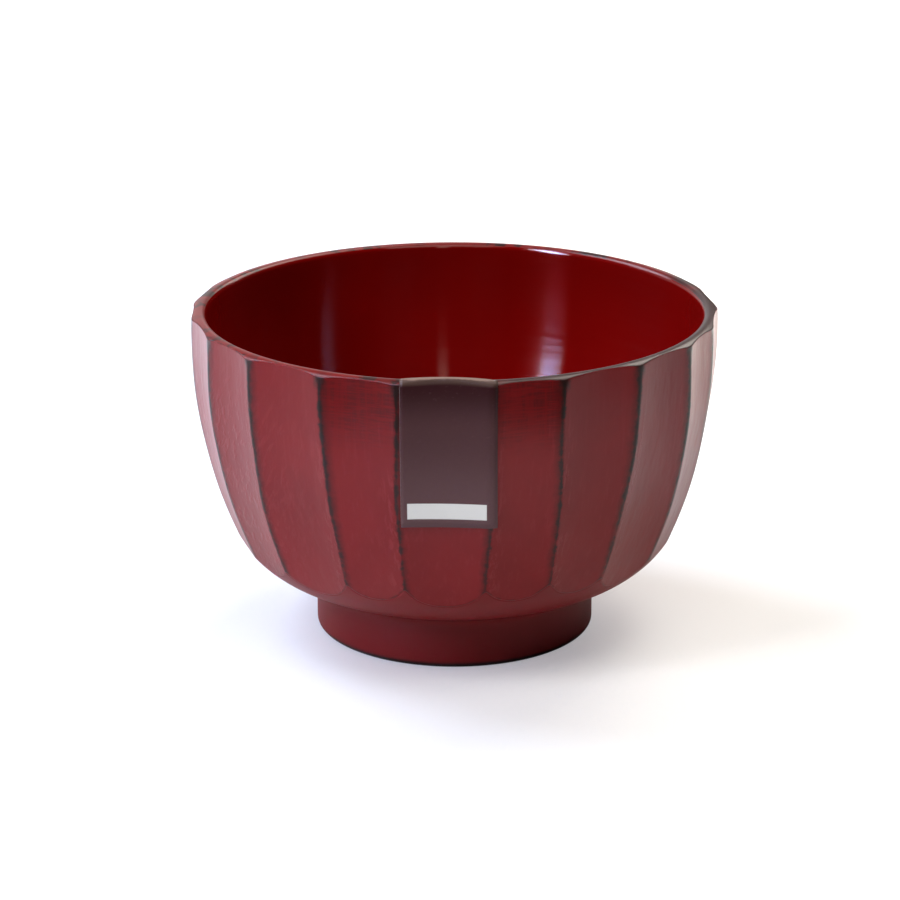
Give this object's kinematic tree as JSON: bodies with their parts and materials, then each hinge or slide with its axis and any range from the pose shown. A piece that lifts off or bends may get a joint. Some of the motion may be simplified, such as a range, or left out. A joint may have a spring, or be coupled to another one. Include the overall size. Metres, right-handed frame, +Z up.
{
  "type": "lacquer soup bowl",
  "caption": "Round wooden soup bowl with a hand-planed faceted wall, a turned foot ring and a red lacquer finish, with a blank paper label folded over its rim.",
  "frame": {"origin": "middle of the foot ring on the surface that the bowl stands on", "axes": "+Z up along the bowl's turning axis, -Y towards the paper label"},
  "size_m": [0.1148, 0.1145, 0.0728],
  "materials": {
    "lacquered_wood": "satin red lacquer over black, rubbed through on the ridges",
    "label_paper": "satin printed paper"
  },
  "bodies": {
    "root": {"bowl_body": "lacquered_wood", "paper_label": "label_paper"}
  },
  "joints": []
}
